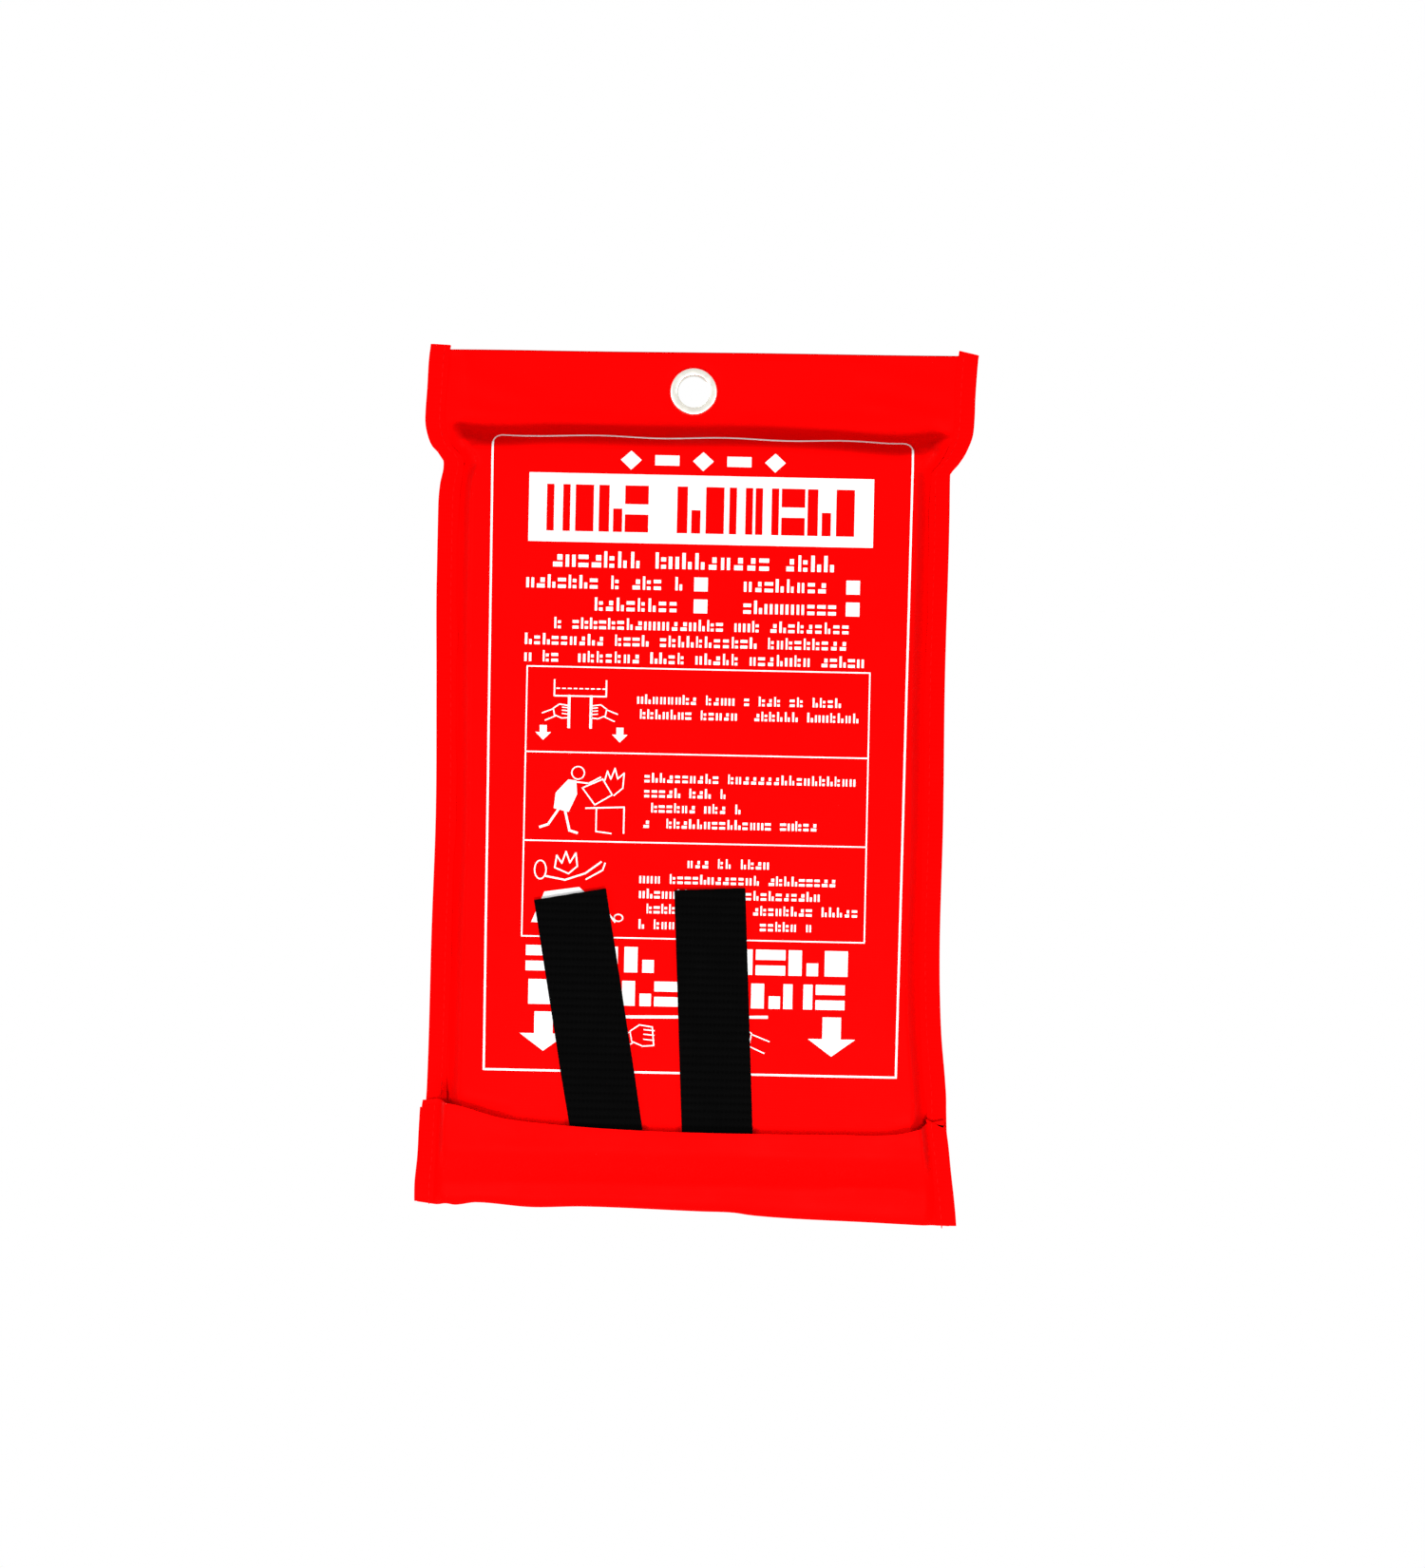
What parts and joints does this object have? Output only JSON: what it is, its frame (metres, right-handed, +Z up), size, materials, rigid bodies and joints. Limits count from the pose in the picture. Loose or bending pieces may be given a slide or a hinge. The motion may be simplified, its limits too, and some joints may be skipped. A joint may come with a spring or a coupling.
{
  "type": "fire blanket",
  "caption": "Folded woven-glass fire blanket in a red hanging cloth pouch with an eyelet, a bottom flap and black pull tapes.",
  "frame": {"origin": "centre of the hanging eyelet, on the wall plane behind the pouch", "axes": "+Z up, the printed front faces -Y, +X to the viewer's right; +Y points into the wall"},
  "size_m": [0.193, 0.021, 0.304],
  "materials": {
    "red_coated_cloth": "fine woven polyester with a satin PVC coating",
    "red_binding_tape": "ribbed woven binding tape",
    "nickel_plate": "nickel-plated brass, bright",
    "woven_glass_cloth": "plain woven glass cloth",
    "black_webbing": "coarse woven polypropylene webbing",
    "white_ink": "matt screen-printed ink",
    "sewing_thread": "polyester sewing thread"
  },
  "bodies": {
    "pouch": {"back_panel": "red_coated_cloth", "front_panel": "red_coated_cloth", "front_hem": "red_coated_cloth", "left_edge_binding": "red_binding_tape", "right_edge_binding": "red_binding_tape", "eyelet_front": "nickel_plate", "eyelet_washer": "nickel_plate"},
    "bottom_fold": {"bottom_fold": "red_coated_cloth"},
    "flap": {"flap_panel": "red_coated_cloth", "left_flap_binding": "red_binding_tape", "right_flap_binding": "red_binding_tape"},
    "blanket": {"fire_blanket": "woven_glass_cloth", "left_tape_root": "black_webbing", "right_tape_root": "black_webbing"},
    "left_tape": {"left_tape_tail": "black_webbing"},
    "right_tape": {"right_tape_tail": "black_webbing"}
  },
  "joints": [
    {"name": "blanket_slide", "type": "slide", "parent": "pouch", "child": "blanket", "axis": [0, 0, -1], "range_m": [0, 0.25], "deforming": ["front_hem"]},
    {"name": "fold_turn", "type": "hinge", "parent": "pouch", "child": "bottom_fold", "pos_m": [0.002, -0.00185, -0.281], "axis": [1, 0, 0], "range_deg": [0, 90], "deforming": ["bottom_fold"]},
    {"name": "flap_turn", "type": "hinge", "parent": "bottom_fold", "child": "flap", "pos_m": [0.002, -0.0096, -0.281], "axis": [1, 0, 0], "range_deg": [0, 70], "deforming": ["flap_panel", "left_flap_binding", "right_flap_binding"]},
    {"name": "left_tape_lift", "type": "hinge", "parent": "blanket", "child": "left_tape", "pos_m": [-0.0251, -0.021, -0.2565], "axis": [1, 0, 0], "range_deg": [0, 170]},
    {"name": "right_tape_lift", "type": "hinge", "parent": "blanket", "child": "right_tape", "pos_m": [0.0136, -0.021, -0.2565], "axis": [1, 0, 0], "range_deg": [0, 170]}
  ],
  "couplings": [
    {"joint": "fold_turn", "follows": "blanket_slide", "rad_per_m": 6.283},
    {"joint": "flap_turn", "follows": "blanket_slide", "rad_per_m": 4.887}
  ]
}
